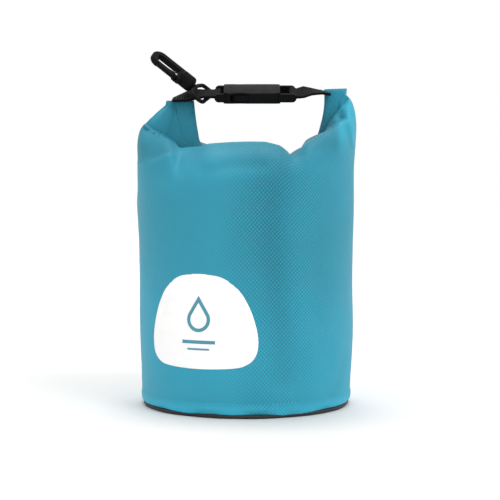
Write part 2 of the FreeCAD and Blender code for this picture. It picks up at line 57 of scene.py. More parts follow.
# ---------------- sizes of the bag
RADIUS = 85.0
NECK_RADIUS = 81.0  # the tube of fabric is a little narrower where it is rolled up
TUBE_HEIGHT = 251.0  # flat height of the fabric at its sides, base to roll
TUBE_CROWN = 27.5  # extra height of the fabric at its front and back
TUBE_BOTTOM = 3.0
FOOT_INSET = 2.2  # the fabric's lowest row turns in under the bag by this much
COLUMNS, ROWS = 144, 68  # grid of the simulated fabric
HALF = COLUMNS // 2  # columns from the right side to the left: the back, then the front
SIM_SCALE = 10.0  # the solver is steadier on a bag ten times larger
SIM_CLOSE, SIM_END = 36, 76  # frames: the mouth is closed, the fabric has settled
SIDES_HELD_ABOVE = 165.0  # the fabric's two side edges are held in place from this height up

# the line where the fabric enters the roll, in the XZ plane, from the left end to the right
ROLL_LINE = [
    (-59, 241.5), (-61, 231), (-61.5, 219), (-61.5, 205), (-57, 192), (-46, 184), (-28, 181), (0, 180),
    (30, 180.5), (48, 183), (61, 190), (67.5, 203), (71, 218), (74, 235), (76, 251),
]
# the roll's other edge, inside the U that it makes
ROLL_INNER = [
    (-40.5, 241.5), (-39.5, 231), (-37.6, 218), (-35, 208), (-26, 201), (-10, 198.5), (10, 198),
    (30, 198.5), (44, 202), (54.5, 211), (59.5, 226), (61.4, 238), (61.5, 250.5),
]
# the bag's side edges in the XZ plane, from the base to the roll
LEFT_SIDE = [
    (-85, 3), (-87.4, 150), (-87.4, 180), (-86.9, 195), (-84.8, 208), (-81.6, 220), (-71, 231),
    (-59, 241.5),
]
RIGHT_SIDE = [
    (85, 3), (87.6, 150), (87.8, 180), (88.2, 195), (88.4, 208), (88, 220), (86, 234), (76, 251),
]
FRONT_LAYER, BACK_LAYER = -5.5, 2.0  # where the two layers enter the roll, in Y
MOUTH_BOW, ROLL_BOW, BOW_HALF_SPAN = 2.0, 1.0, 55.0  # the middle of the mouth and roll bow forward

# where the fabric lies folded flat in an ear: its reach along the mouth and down from it, and the
# share of the pressure that it still gets
LEFT_EAR_SLACK, RIGHT_EAR_SLACK = (46, 31, 0.03), (34, 20, 0.1)
SLACK_EDGE = 0.15  # the pressure comes back over this share of the reach

# top of the front panel, seen from the front: a fold at each end and the soft crest between
CREST = [
    (-81, 220), (-67, 212), (-53.6, 204), (-37, 207.2), (0, 208.6), (15, 208.4), (26, 206),
    (35.2, 200.8), (45, 205.5), (55.2, 210.6), (66, 217.6), (76, 224),
]
CREST_STEP = 4.0  # the settled fabric's crest is felt for at this spacing
# the crease under the left ear, and how the fabric above it leans back: at once, and per mm of height
GUSSET_CREASE = [(-88, 191.5), (-76, 192.3), (-67, 194.8), (-59, 199.0), (-53.6, 202.6)]
GUSSET_STEP, GUSSET_SLOPE = 3.2, 0.32
TRIM = 0.026  # the flattened top spreads the tube sideways; this share is taken back
FOOT_TAPER = 0.024  # the bag narrows by this share down to its base
EAR_FACE = -8.0  # the right ear's front face lies this far forward of the middle
EAR_FOLDED_FACE = -3.5  # on the left this layer lies behind the folded flap
EAR_EDGE_BACK = 5.2  # and its outer edge lies this much further back
# for the left ear and the right: the height over which the fabric drops back to the ear's face, and
# the share of the way that it goes
DROP_HEIGHTS, DROP_SHARES = (5.5, 3.5), (0.97, 0.5)
# a slow unevenness of the body: height, waves per mm of X and of Z, phase
RIPPLES = [(0.35, 0.043, 0.061, 0.6), (0.3, 0.083, -0.029, 2.1)]


def smooth(value):
    """0 below 0, 1 above 1 and an even S between them."""
    value = np.clip(value, 0.0, 1.0)
    return value * value * (3 - 2 * value)


def ramp(value, start, end):
    """0 at start and 1 at end, which may be the lower of the two."""
    return smooth((value - start) / (end - start))


def curve_through(knots, count):
    """Evenly spaced points on a Catmull-Rom curve."""
    knots = [np.array(k, float) for k in knots]
    knots = [2 * knots[0] - knots[1]] + knots + [2 * knots[-1] - knots[-2]]
    dense = []
    for a, b, c, d in zip(knots, knots[1:], knots[2:], knots[3:]):
        bend, twist = 2 * a - 5 * b + 4 * c - d, 3 * b - a - 3 * c + d
        for t in np.linspace(0, 1, 20, endpoint=False):
            dense.append(0.5 * (2 * b + (c - a) * t + bend * t**2 + twist * t**3))
    return resample(dense + [knots[-2]], count)


def resample(points, count):
    """Evenly spaced points along a polyline."""
    points = np.array(points, float)
    length = np.r_[0, np.cumsum(np.linalg.norm(np.diff(points, axis=0), axis=1))]
    at = np.linspace(0, length[-1], count)
    return np.stack([np.interp(at, length, points[:, k]) for k in range(points.shape[1])], axis=1)


def height_on(line, x):
    """The height of a drawn line at x."""
    line = np.array(line, float)
    return np.interp(x, line[:, 0], line[:, 1])


def bowed(x, depth):
    """How far forward the mouth and the roll stand at x, as a negative Y."""
    return -depth * max(0.0, 1 - (x / BOW_HALF_SPAN) ** 2)


def round_angles(count):
    """Evenly spaced angles about the bag's axis; the first column of fabric is at its right side."""
    return FULL_TURN * np.arange(count) / count


# ---------------- meshes
def new_mesh(name, points, faces):
    mesh = bpy.data.meshes.new(name)
    mesh.from_pydata([tuple(float(c) * MM for c in p) for p in points], [], faces)
    mesh.validate()
    for face in mesh.polygons:
        face.use_smooth = True
    return mesh


def linked(name, data):
    """A new object in the scene."""
    piece = bpy.data.objects.new(name, data)
    bpy.context.scene.collection.objects.link(piece)
    return piece


def new_object(name, mesh, material):
    piece = linked(name, mesh)
    mesh.materials.clear()
    mesh.materials.append(material)
    return piece


def subdivided(mesh):
    """The mesh with one level of a subdivision surface applied."""
    carrier = linked(mesh.name, mesh)
    modifier = carrier.modifiers.new("subdivide", "SUBSURF")
    modifier.levels = modifier.render_levels = 1
    graph = bpy.context.evaluated_depsgraph_get()
    result = bpy.data.meshes.new_from_object(carrier.evaluated_get(graph))
    bpy.data.objects.remove(carrier)
    return result


def grid_faces(rows, columns, start=0, closed=False):
    """Quads between rows of points; closed joins the last column to the first."""
    faces = []
    for r in range(rows - 1):
        for c in range(columns if closed else columns - 1):
            a, b = start + r * columns + c, start + r * columns + (c + 1) % columns
            faces.append((a, b, b + columns, a + columns))
    return faces


def slab(outer, inner, closed=False):
    """A thin closed sheet between two grids of points (rows, columns, 3)."""
    rows, columns = outer.shape[:2]
    count, across = rows * columns, columns if closed else columns - 1
    points = np.concatenate([outer.reshape(-1, 3), inner.reshape(-1, 3)])
    faces = grid_faces(rows, columns, 0, closed)
    faces += [f[::-1] for f in grid_faces(rows, columns, count, closed)]

    def wall(edges, flip):
        for a, b in edges:
            quad = (b, a, a + count, b + count)
            faces.append(quad[::-1] if flip else quad)

    for r, flip in ((0, False), (rows - 1, True)):
        wall([(r * columns + c, r * columns + (c + 1) % columns) for c in range(across)], flip)
    if not closed:
        for c, flip in ((0, True), (columns - 1, False)):
            wall([(r * columns + c, (r + 1) * columns + c) for r in range(rows - 1)], flip)
    return points, faces


def map_cloth(mesh, rows, columns, along, up):
    """A flat map of a grid of cloth; along has a length for each column and up for each row."""
    cloth_map = mesh.uv_layers.new(name="cloth")
    for face in mesh.polygons:
        own = [divmod(v % (rows * columns), columns) for v in face.vertices]
        wraps = max(c for _, c in own) - min(c for _, c in own) > columns // 2
        for loop, (row, column) in zip(face.loop_indices, own):
            past = columns if wraps and column == 0 else column
            cloth_map.data[loop].uv = (along[past] * MM, up[row] * MM)


def set_shade(mesh, value):
    """Painted light and shade on the cloth at each point: 1 is its full colour, less is painted shade and
    more is painted light.
    """
    values = np.broadcast_to(np.asarray(value, np.float32), (len(mesh.vertices),))
    shade = mesh.attributes.new("shade", "FLOAT", "POINT")
    shade.data.foreach_set("value", np.ascontiguousarray(values))


# ---------------- the fabric, simulated
def tube_grid():
    """The fabric as a standing tube, row by row: (rows, columns, 3)."""
    turn = round_angles(COLUMNS)
    up = np.arange(ROWS + 1)[:, None] / ROWS
    neck = ramp(up * TUBE_HEIGHT, 150.0, 250.0)
    radius = RADIUS + (NECK_RADIUS - RADIUS) * neck + 0 * turn
    radius[0] = RADIUS - FOOT_INSET
    height = TUBE_BOTTOM + up * (TUBE_HEIGHT + TUBE_CROWN * np.abs(np.sin(turn)) ** 0.9)
    return np.stack([radius * np.cos(turn), radius * np.sin(turn), height], axis=2)


def held_rows():
    """The rows whose side edges are held in place."""
    return [row for row in range(ROWS) if row / ROWS * TUBE_HEIGHT > SIDES_HELD_ABOVE]


def closed_grid(tube):
    """The same points with the mouth pressed flat along the roll line and the side edges in place."""
    closed = tube.copy()
    line = curve_through(ROLL_LINE, HALF + 1)
    for column in range(COLUMNS):
        front = column >= HALF
        step = column - HALF if front else HALF - column
        x, z = line[step]
        taper = min(1.0, 4 * sin(pi * step / HALF))
        layer = FRONT_LAYER if front else BACK_LAYER
        closed[ROWS, column] = (x, layer * taper + bowed(x, MOUTH_BOW), z)
    for column, side in ((0, RIGHT_SIDE), (HALF, LEFT_SIDE)):
        edge = resample(side, ROWS + 1)
        for row in held_rows():
            closed[row, column] = (edge[row][0], 0.0, edge[row][1])
    return closed


def pressure_weight(row, column):
    """Full inside the bag, and almost none where the fabric is folded flat into the ears."""
    from_top = (1 - row / ROWS) * TUBE_HEIGHT
    spacing = FULL_TURN * RADIUS / COLUMNS
    from_left = abs(column - HALF) * spacing
    from_right = min(column, COLUMNS - column) * spacing
    weight = 1.0
    for from_side, (along, down, least) in ((from_left, LEFT_EAR_SLACK), (from_right, RIGHT_EAR_SLACK)):
        inside = from_side / along + from_top / down - 1
        weight = min(weight, least + (1 - least) * float(smooth(inside / SLACK_EDGE)))
    return weight


CLOTH_SETTINGS = {
    "quality": 6, "mass": 0.15, "air_damping": 3,
    "tension_stiffness": 40, "tension_damping": 8,
    "compression_stiffness": 20, "compression_damping": 8,
    "shear_stiffness": 8, "shear_damping": 6,
    "bending_stiffness": 0.5, "bending_damping": 1.0,
    "vertex_group_mass": "pinned", "pin_stiffness": 1,
    "use_pressure": True, "uniform_pressure_force": 3.0, "vertex_group_pressure": "pressed",
}


def vertex_group(fabric, name, weights):
    """A vertex group from pairs of point number and weight."""
    group = fabric.vertex_groups.new(name=name)
    for index, weight in weights:
        group.add([index], weight, "REPLACE")


def close_mouth(fabric, closed):
    """A shape key that moves the held points from the tube to their places at the roll."""
    fabric.shape_key_add(name="Basis")
    key = fabric.shape_key_add(name="closed")
    for index, point in enumerate(closed.reshape(-1, 3)):
        key.data[index].co = point
    for value, at in ((0.0, 1), (1.0, SIM_CLOSE)):
        key.value = value
        key.keyframe_insert("value", frame=at)
    for curve in fabric.data.shape_keys.animation_data.action.fcurves:
        for knot in curve.keyframe_points:
            knot.interpolation = "LINEAR"


def add_cloth(fabric):
    """Coated fabric under a light pressure, without gravity."""
    cloth = fabric.modifiers.new("cloth", "CLOTH")
    for name, value in CLOTH_SETTINGS.items():
        setattr(cloth.settings, name, value)
    cloth.settings.effector_weights.gravity = 0.0
    cloth.collision_settings.use_collision = False
    cloth.collision_settings.use_self_collision = False
    cloth.point_cache.frame_end = SIM_END


def drape():
    """Closes the tube's mouth onto the roll line with Cloth under light pressure: the settled grid."""
    tube, scale = tube_grid(), SIM_SCALE * MM
    mesh = bpy.data.meshes.new("drape")
    faces = grid_faces(ROWS + 1, COLUMNS, 0, True)
    mesh.from_pydata([tuple(p * scale) for p in tube.reshape(-1, 3)], [], faces)
    fabric = linked("drape", mesh)
    foot = list(range(COLUMNS))
    mouth = [ROWS * COLUMNS + column for column in foot]
    sides = [row * COLUMNS + column for row in held_rows() for column in (0, HALF)]
    vertex_group(fabric, "pinned", [(index, 1.0) for index in foot + mouth + sides])
    everywhere = [divmod(index, COLUMNS) for index in range((ROWS + 1) * COLUMNS)]
    vertex_group(fabric, "pressed", enumerate(pressure_weight(*place) for place in everywhere))
    close_mouth(fabric, closed_grid(tube) * scale)
    add_cloth(fabric)

    scene = bpy.context.scene
    for at in range(1, SIM_END + 1):
        scene.frame_set(at)
    graph = bpy.context.evaluated_depsgraph_get()
    settled = np.array([v.co[:] for v in fabric.evaluated_get(graph).data.vertices]) / scale
    bpy.data.objects.remove(fabric)
    scene.frame_set(1)
    return settled.reshape(ROWS + 1, COLUMNS, 3)


# ---------------- the fabric, sculpted
def relaxed(grid, passes=10):
    """The grid with the small pinches below the crest smoothed out of its front and back."""
    rows = np.arange(ROWS + 1)[:, None]
    middle = ramp(np.abs(np.sin(round_angles(COLUMNS))), 0.28, 0.53)
    upper = ramp(rows, 36, 42) * ramp(rows, ROWS - 4, ROWS - 9) * middle
    shoulder = ramp(rows, 30, 35) * (1 - ramp(rows, 48, 54))
    share = np.maximum(upper, shoulder)
    for _ in range(passes):
        around = np.roll(grid, 1, 0) + np.roll(grid, -1, 0) + np.roll(grid, 1, 1) + np.roll(grid, -1, 1)
        grid = grid + (around / 4 - grid) * 0.5 * share[..., None]
    return grid


def level_crest(x, y, z, front):
    """Brings the top of the front panel to its drawn line between the two folds."""
    spots = np.arange(-60.0, 50.0, CREST_STEP)
    near = [(front > 0.2) & (np.abs(x - spot) < CREST_STEP) & (y < -25) for spot in spots]
    top = [z[panel].max() for panel in near]
    top = np.convolve(np.r_[top[0], top, top[-1]], [0.25, 0.5, 0.25], "valid")
    lift = height_on(CREST, x) - np.interp(x, spots, top)
    between_folds = ramp(x, -62, -50) * ramp(x, 48, 38)
    return z + lift * between_folds * ramp(z, 165, 203) * ramp(front, 0, 0.25)


def fold_ears(x, y, z, front):
    """Behind the front panel's folds the fabric drops back into the flat faces of the ears.

    Gives the new y, and how far beyond the fold each point is, from 0 to 1.
    """
    left_half = x < 0
    crest = height_on(CREST, x)
    ears = np.maximum(ramp(x, -44, -52), ramp(x, 37, 43) * (1 - ramp(x, 74, 81)))
    beyond = smooth((z - crest) / np.where(left_half, *DROP_HEIGHTS)) * ears * (front > 0)
    face = np.where(left_half, EAR_FOLDED_FACE + EAR_EDGE_BACK * ramp(x, -62, -70), EAR_FACE)
    drop = np.where(y < face, np.where(left_half, *DROP_SHARES) * (face - y), 0)
    above = np.minimum(z, crest) - height_on(GUSSET_CREASE, x)
    lean = GUSSET_STEP * ramp(above, 0, 2.2) + GUSSET_SLOPE * np.maximum(above, 0)
    lean = lean * ramp(x, -47, -60) * (front > 0)
    moved = y + np.maximum(lean * (1 - beyond), drop * beyond)
    return np.where(y < 0, np.minimum(moved, np.maximum(face * beyond, 0)), y), beyond


def fold_across(x, z, knots, width):
    """How near points of the front are to a soft fold along a line: 1 on it, 0 away from it."""
    distance = np.min([np.hypot(x - a, z - b) for a, b in curve_through(knots, 60)], axis=0)
    return np.exp(-((distance / width) ** 2))


# soft folds of the flap, the front panel and the ears: knots (x, z), half width, and depth, which is
# negative where the fold stands proud
FLAP_FOLDS = [
    ([(-60, 238), (-68, 226), (-76, 219)], 2.6, 0.7),
    ([(-58, 232), (-62, 220), (-70, 210)], 3.0, -0.8),
    ([(-58, 222), (-61, 212), (-66, 204)], 2.2, 0.7),
]
FRONT_FOLDS = [
    ([(34, 200), (26, 186), (20, 165), (19, 120), (24, 70), (28, 30)], 10.0, 2.0),
    ([(48, 196), (44, 170), (40, 120), (44, 60)], 12.0, -1.2),
    ([(-74, 184), (-58, 190), (-44, 198)], 6.0, 0.7),
    ([(-62, 172), (-44, 178), (-26, 190)], 7.0, -0.7),
    ([(-30, 186), (-8, 190), (12, 190)], 5.0, 1.2),
    ([(-34, 180), (-10, 181), (20, 183)], 6.0, -0.8),
    ([(76, 40), (72, 22), (66, 12)], 4.0, 0.9),
]
EAR_FOLDS = [
    ([(66, 249), (70, 236), (78, 220), (82, 205)], 2.4, 1.3),
    ([(71, 249), (76, 236), (82, 222), (84, 208)], 2.0, -1.1),
    ([(64, 246), (66, 234), (73, 222)], 2.2, -1.0),
    ([(-52, 240), (-46, 226), (-45, 212)], 2.2, 0.8),
]
FRONT_FOLD_SHADE, EAR_FOLD_SHADE = 0.05, 0.10  # painted shade that a fold puts on the cloth per mm of depth; a proud fold gets painted light


def bag_fabric(grid, material):
    """The bag's whole outer fabric, base to roll, from the settled grid."""
    faces = grid_faces(ROWS + 1, COLUMNS, 0, True)
    mesh = new_mesh("bag_fabric", grid.reshape(-1, 3), faces)
    front = np.tile(-np.sin(round_angles(COLUMNS)), ROWS + 1).astype(np.float32)
    mesh.attributes.new("front", "FLOAT", "POINT").data.foreach_set("value", front)
    along = np.linspace(0, FULL_TURN * RADIUS, COLUMNS + 1)
    map_cloth(mesh, ROWS + 1, COLUMNS, along, np.linspace(0, TUBE_HEIGHT + TUBE_CROWN / 2, ROWS + 1))
    mesh = subdivided(mesh)
    mesh.name = "bag_fabric"
    sculpt_fabric(mesh)
    return new_object("bag_fabric", mesh, material)


def top_light(x, z):
    """The light that the top of the right ear catches, from 0 to 1."""
    return ramp(z, 222, 238) * ramp(x, 50, 60)


def panel_shade(x, z, facing, beyond):
    """Painted light and shade on the cloth: painted light low down, painted shade inside the ears, under
    the left fold and on the ridge.
    """
    above = z - height_on(GUSSET_CREASE, x)
    under_fold = ramp(x, -50, -58) * facing * ramp(above, -0.4, 1.0) * (1 - 0.5 * ramp(above, 0, 30))
    side_light = 0.02 * np.tanh(x / 45) * facing + 0.03 * ramp(x, -40, -80) * (1 - beyond)
    inward = 1 - ramp(x, 68, 75) * ramp(z, 185, 215)  # 0 at the right ear's outer end
    low_light = 1.10 - 0.20 * ramp(z, 40, 150) * inward
    low_light = low_light - 0.10 * ramp(z, 186, 204) * (1 - beyond) * inward
    ridge = ramp(x, 44, 54) * ramp(z, 198, 208) * facing * inward
    in_ear = beyond * (1 - top_light(x, z))
    return low_light - 0.26 * in_ear - 0.15 * under_fold - 0.12 * ridge + side_light


def sculpt_fabric(mesh):
    """Brings the settled fabric to its drawn lines, adds its soft folds and sets its painted light and
    shade.
    """
    count = len(mesh.vertices)
    points = np.zeros(count * 3)
    mesh.vertices.foreach_get("co", points)
    x, y, z = (points.reshape(-1, 3) / MM).T
    front = np.zeros(count, np.float32)
    mesh.attributes["front"].data.foreach_get("value", front)
    foot = 1 - FOOT_TAPER * (1 - ramp(z, 0, 75))
    x = x * foot * (1 - TRIM * ramp(z, 10, 100) * ramp(z, 228, 188))
    z = level_crest(x, y, z, front)
    y, beyond = fold_ears(x, y, z, front)
    facing = ramp(front, 0, 0.3) * (1 - beyond)
    shade = panel_shade(x, z, facing, beyond)
    # each fold moves the cloth and paints shade into it by its depth; a proud fold gets painted light
    for knots, width, depth in FRONT_FOLDS:
        near = fold_across(x, z, knots, width) * facing
        y = y + depth * near
        shade = shade - FRONT_FOLD_SHADE * depth * near
    for knots, width, depth in EAR_FOLDS:
        near = fold_across(x, z, knots, width) * ramp(front, 0, 0.1) * ramp(y, 0, -3)
        y = y + depth * near
        shade = shade - EAR_FOLD_SHADE * depth * near
    ripple = sum(high * np.sin(along * x + up * z + phase) for high, along, up, phase in RIPPLES)
    body = ramp(np.hypot(x, y), 60, 75) * ramp(z, 12, 32) * ramp(z, 200, 170)
    swell = 1 + ripple * body / RADIUS
    mesh.vertices.foreach_set("co", (np.stack([x * swell, y * swell, z], axis=1) * MM).ravel())
    set_shade(mesh, shade)
    mesh.attributes.remove(mesh.attributes["front"])
    mesh.update()


# the flap's edges in the XZ plane, from the crease up
FLAP_OUTER = [
    (-77, 203), (-80.8, 212), (-81.9, 219.5), (-77.6, 225.6), (-71.9, 231.4), (-65.6, 236.8),
    (-59.2, 241.9),
]
FLAP_INNER = [
    (-44, 198), (-47, 205), (-50, 213), (-52.4, 221), (-54.4, 229), (-55.8, 236), (-56.2, 241.8),
]
FLAP_EDGE, FLAP_PROUD = -0.3, 7.0  # where its outer edge lies, and how far forward it rises
FLAP_ROLL_FACE, FLAP_ROLL_FULLER = -4.35, 1.4  # the roll's face at its end, and how it fills below


def ear_flap(material):
    """The side of the mouth folded flat over the left ear, from its outer edge onto the roll."""
    rows, columns, thick, width, height = 60, 34, 1.2, 26, 45
    outer, inner = curve_through(FLAP_OUTER, rows), curve_through(FLAP_INNER, rows)
    share = np.linspace(0, 1, columns)
    x, z = [outer[:, k, None] + (inner - outer)[:, k, None] * share for k in (0, 1)]
    swell = 0.55 + 0.45 * ramp(np.hypot(*(inner - outer).T)[:, None], 0, 16)
    rise, onto_roll = ramp(share, 0, 0.34), ramp(share, 0.45, 1)
    roll_face = FLAP_ROLL_FACE - FLAP_ROLL_FULLER * ramp(np.arange(rows)[:, None], rows - 1, 9)
    y = (FLAP_EDGE - FLAP_PROUD * swell * rise) * (1 - onto_roll) + roll_face * onto_roll
    for knots, size, depth in FLAP_FOLDS:
        y = y + depth * fold_across(x, z, knots, size) * rise * (1 - onto_roll)
    front = np.stack([x, y, z], axis=2)
    points, faces = slab(front, front + [0, thick, 0])
    mesh = new_mesh("ear_flap", points, faces)
    map_cloth(mesh, rows, columns, np.linspace(0, width, columns), np.linspace(0, height, rows))
    # painted shade on the flap, deepening from its outer edge in towards the roll
    set_shade(mesh, np.tile(0.90 - 0.20 * ramp(share, 0, 0.75), 2 * rows))
    return new_object("ear_flap", mesh, material)


# ---------------- the roll
ROLL_TURNS, STEPS_PER_TURN = 3, 28
ROLL_STATIONS = 84
ROLL_LENGTH = 240.0
ROLL_HALF_THICK = 5.6
ROLL_END_THIN, ROLL_END_REACH = 0.72, 0.2  # the roll's ends are this thin, over this share of it
SHEET_THICK = 1.0
LAYER_PITCH = 1.65
ROLL_LAP = 4.5  # the roll starts this far inside the fabric that it takes in
ROLL_SHADE, ROLL_LIT = 0.72, 0.22  # the roll's painted shade, and how much painted light its right end gains


def squared(value, power):
    """A sine or cosine wave made squarer by a power below 1."""
    return np.sign(value) * np.abs(value) ** power


def spiral_profile():
    """The rolled sheet's section: places across and deep on a unit outline, and how far in it lies."""
    angle = pi + np.linspace(0, ROLL_TURNS * FULL_TURN, ROLL_TURNS * STEPS_PER_TURN + 1)
    inset = LAYER_PITCH * (angle - pi) / FULL_TURN
    return squared(np.cos(angle), 0.55), squared(np.sin(angle), 0.7), inset


def roll_section(low, high, thick):
    """The rolled sheet's closed outline between two edges: out along its outer side, back inside."""
    across, deep, inset = spiral_profile()
    middle, half = (low + high) / 2, (high - low) / 2
    width = np.hypot(*half)
    bow = bowed(middle[0], ROLL_BOW)
    section = []
    for depth_in, order in ((inset, 1), (inset + SHEET_THICK, -1)):
        along = across * np.maximum(width - depth_in, 1.0) / width
        depth = deep * np.maximum(thick - depth_in * thick / ROLL_HALF_THICK, 0.35)
        for a, d in list(zip(along, depth))[::order]:
            section.append((middle[0] + a * half[0], d + bow, middle[1] + a * half[1]))
    return section


def rolled_mouth(material):
    """The mouth, rolled three turns over its stiffener and bent up at both ends."""
    last = ROLL_STATIONS - 1
    edges = zip(curve_through(ROLL_LINE, ROLL_STATIONS), curve_through(ROLL_INNER, ROLL_STATIONS))
    sections = []
    for index, (low, high) in enumerate(edges):
        low = low + (low - high) / np.hypot(*(low - high)) * ROLL_LAP
        from_end = min(index, last - index) / last
        fullness = ROLL_END_THIN + (1 - ROLL_END_THIN) * float(smooth(from_end / ROLL_END_REACH))
        sections.append(roll_section(low, high, ROLL_HALF_THICK * fullness))
    points = np.array(sections)
    ring = points.shape[1]
    faces = grid_faces(ROLL_STATIONS, ring, 0, True)
    for strip in range(ring // 2 - 1):
        quad = (strip, strip + 1, ring - 2 - strip, ring - 1 - strip)
        faces.append(quad[::-1])
        faces.append(tuple(last * ring + corner for corner in quad))
    mesh = new_mesh("roll", points.reshape(-1, 3), faces)
    profile = np.array(sections[ROLL_STATIONS // 2] + sections[ROLL_STATIONS // 2 + 1][:1])
    run = np.r_[0, np.cumsum(np.linalg.norm(np.diff(profile, axis=0), axis=1))]
    map_cloth(mesh, ROLL_STATIONS, ring, run, np.linspace(0, ROLL_LENGTH, ROLL_STATIONS))
    x, _, z = points.reshape(-1, 3).T
    # painted shade over the roll, with painted light on its right end's top
    set_shade(mesh, ROLL_SHADE + ROLL_LIT * top_light(x, z))
    return new_object("roll", mesh, material)


def stiffener(material):
    """Flat strip at the middle of the roll."""
    stations, columns, half_thick, half_share, width = 60, 9, 0.32, 0.42, 20.0
    low, high = [curve_through(line, stations)[:, None] for line in (ROLL_LINE, ROLL_INNER)]
    share = np.linspace(-half_share, half_share, columns)[None, :, None]
    flat = (low + high) / 2 + share * (high - low) / 2
    points, faces = slab(*[np.insert(flat, 1, y, axis=2) for y in (-half_thick, half_thick)])
    mesh = new_mesh("stiffener", points, faces)
    along = np.linspace(0, ROLL_LENGTH, stations)
    map_cloth(mesh, stations, columns, np.linspace(0, width, columns), along)
    return new_object("stiffener", mesh, material)


# ---------------- pieces that follow the fabric
class Skin:
    """The finished fabric as a surface to lay other pieces on."""

    def __init__(self, piece):
        corners = [v.co[:] for v in piece.data.vertices]
        self.tree = BVHTree.FromPolygons(corners, [f.vertices[:] for f in piece.data.polygons])

    def point(self, origin, direction, offset):
        """Where a ray leaves the bag, moved out by offset along the ray; millimetres."""
        direction = Vector(direction).normalized()
        well_outside = Vector(origin) * MM + direction * 0.4
        hit = self.tree.ray_cast(well_outside, -direction)[0]
        return np.array(hit / MM) + np.array(direction) * offset

    def ring(self, angles, height, offset):
        """Points at these angles about the bag's axis, at one height."""
        return [self.point((0, 0, height), (cos(a), sin(a), 0), offset) for a in angles]

    def round_grid(self, angles, heights, offset):
        """Points at these angles and heights about the bag's axis: (heights, angles, 3)."""
        return np.array([self.ring(angles, height, offset) for height in heights])


# angle about the bag, half width, size
HEM_PUCKERS = [
    (-1.93, 0.16, 1.4), (-1.46, 0.14, 1.6), (-1.14, 0.07, 0.7), (-2.45, 0.09, 0.6), (-0.75, 0.10, 0.7),
    (-0.2, 0.08, 0.5), (0.5, 0.12, 0.8), (1.1, 0.07, 0.6), (1.8, 0.13, 0.9), (2.5, 0.1, 0.7),
    (3.05, 0.08, 0.6),
]
# height at which the fabric is felt for, how far out from it, height
HEM_PROFILE = [
    (6.0, -3.4, 1.4), (6.0, -1.0, 1.0), (6.0, 0.0, 1.3), (6.0, 0.55, 2.6), (6.5, 0.75, 5.0),
    (8, 0.72, 7.6), (10, 0.6, 9.8), (11, 0.45, 11.2), (11.6, 0.05, 11.9), (11.6, -1.0, 11.9),
]


def angle_from(angles, centre):
    """The signed angle from a direction about the bag's axis, from minus half a turn to half a turn."""
    return np.angle(np.exp(1j * (angles - centre)))


def hem_band(skin, material):
    """Doubled hem that binds the fabric to the base, puckered by its seam; its edge rises at the back."""
    angles, length, rise = round_angles(288), 530.0, 2.2
    out = np.stack([np.cos(angles), np.sin(angles), 0 * angles], axis=1)
    pucker = sum(
        size * np.exp(-((angle_from(angles, centre) / width) ** 2)) for centre, width, size in HEM_PUCKERS
    )
    slow = 0.25 * np.sin(5 * angles + 0.7) + 0.15 * np.sin(11 * angles + 1.9)
    raised = rise * ramp(np.abs(angle_from(angles, -pi / 2)), 0.25, 0.95)
    rows = []
    for felt, proud, height in HEM_PROFILE:
        row = np.array(skin.ring(angles, felt, 0.0))
        low = max(0.0, 1 - (height - 1.0) / 6.0)
        belly = exp(-(((height - 6.4) / 2.4) ** 2))
        row = row + out * (proud + pucker * (0.5 * belly - 0.8 * low) + 0.3 * slow)[:, None]
        row[:, 2] = height + (raised + 0.15 * pucker) * low + 0.5 * slow * (height > 10)
        rows.append(row)
    heights = [height for _, _, height in HEM_PROFILE]
    mesh = new_mesh("hem", np.concatenate(rows), grid_faces(len(rows), len(angles), 0, True))
    map_cloth(mesh, len(rows), len(angles), np.linspace(0, length, len(angles) + 1), heights)
    level = np.repeat(heights, len(angles))
    # painted light: the hem is lighter than the cloth, more so towards its lower edge, with a painted
    # highlight along its foot; painted shade in the puckers
    lit = 1.10 + 0.40 * ramp(level, 11.8, 4.8) + 0.25 * ramp(level, 2.4, 1.4)
    set_shade(mesh, lit - 0.17 * np.tile(pucker, len(rows)) * ramp(level, 7.6, 5.6))
    return new_object("hem", subdivided(mesh), material)


# radius and height, from the middle of the underside round the lip to the middle of the top
BASE_PROFILE = [
    (0.5, 0.9), (30, 0.7), (60, 0.5), (77, 0.15), (80.4, 0.0), (81.9, 0.4), (82.3, 1.2), (81.9, 2.4),
    (81.2, 3.2), (78.0, 3.4), (50, 3.4), (0.5, 3.4),
]
BASE_DEPTH = 1.026  # the base is this many times as deep as it is wide


def base_disc(material):
    """Round bottom panel with a soft lip that shows under the hem; its black lip is partly painted shade,
    standing in for the dark contact line at the bag's foot.
    """
    count = 192
    angles = round_angles(count)
    wave = 0.25 * np.sin(7 * angles) + 0.2 * np.sin(13 * angles + 1)
    rows = []
    for radius, height in BASE_PROFILE:
        r = radius + wave * ramp(radius, 70, 82)
        ring = [r * np.cos(angles), BASE_DEPTH * r * np.sin(angles), height + 0 * angles]
        rows.append(np.stack(ring, axis=1))
    faces = grid_faces(len(rows), count, 0, True)
    faces.append(tuple(reversed(range(count))))
    faces.append(tuple(range((len(rows) - 1) * count, len(rows) * count)))
    mesh = new_mesh("base_disc", np.concatenate(rows), faces)
    return new_object("base_disc", mesh, material)


def back_seam(skin, material):
    """Welded seam up the middle of the back."""
    half_width, edge, depth = 6.0, 0.9, 1.1
    across = np.linspace(-half_width, half_width, 17)
    heights = np.linspace(15.4, 190.0, 96)
    lift = 0.05 + 0.75 * smooth((half_width - np.abs(across)) / edge) + 0.12 * np.cos(across * 2.6)
    outer = np.array([[skin.point((a, 0, z), (0, 1, 0), l) for a, l in zip(across, lift)] for z in heights])
    points, faces = slab(outer, outer - [0, depth, 0])
    mesh = new_mesh("back_seam", points, faces)
    map_cloth(mesh, len(heights), len(across), across, heights)
    set_shade(mesh, 0.94)
    return new_object("back_seam", mesh, material)


def inner_tape(name, grid, material, closed=False):
    """Sealing tape on the inside of a seam; a closed one runs all the way round."""
    points, faces = slab(grid, grid * [0.994, 0.994, 1.0], closed)
    return new_object(name, new_mesh(name, points, faces), material)


# ---------------- the print
PRINT_TURN = radians(-25.2)  # the print faces this far round from the front
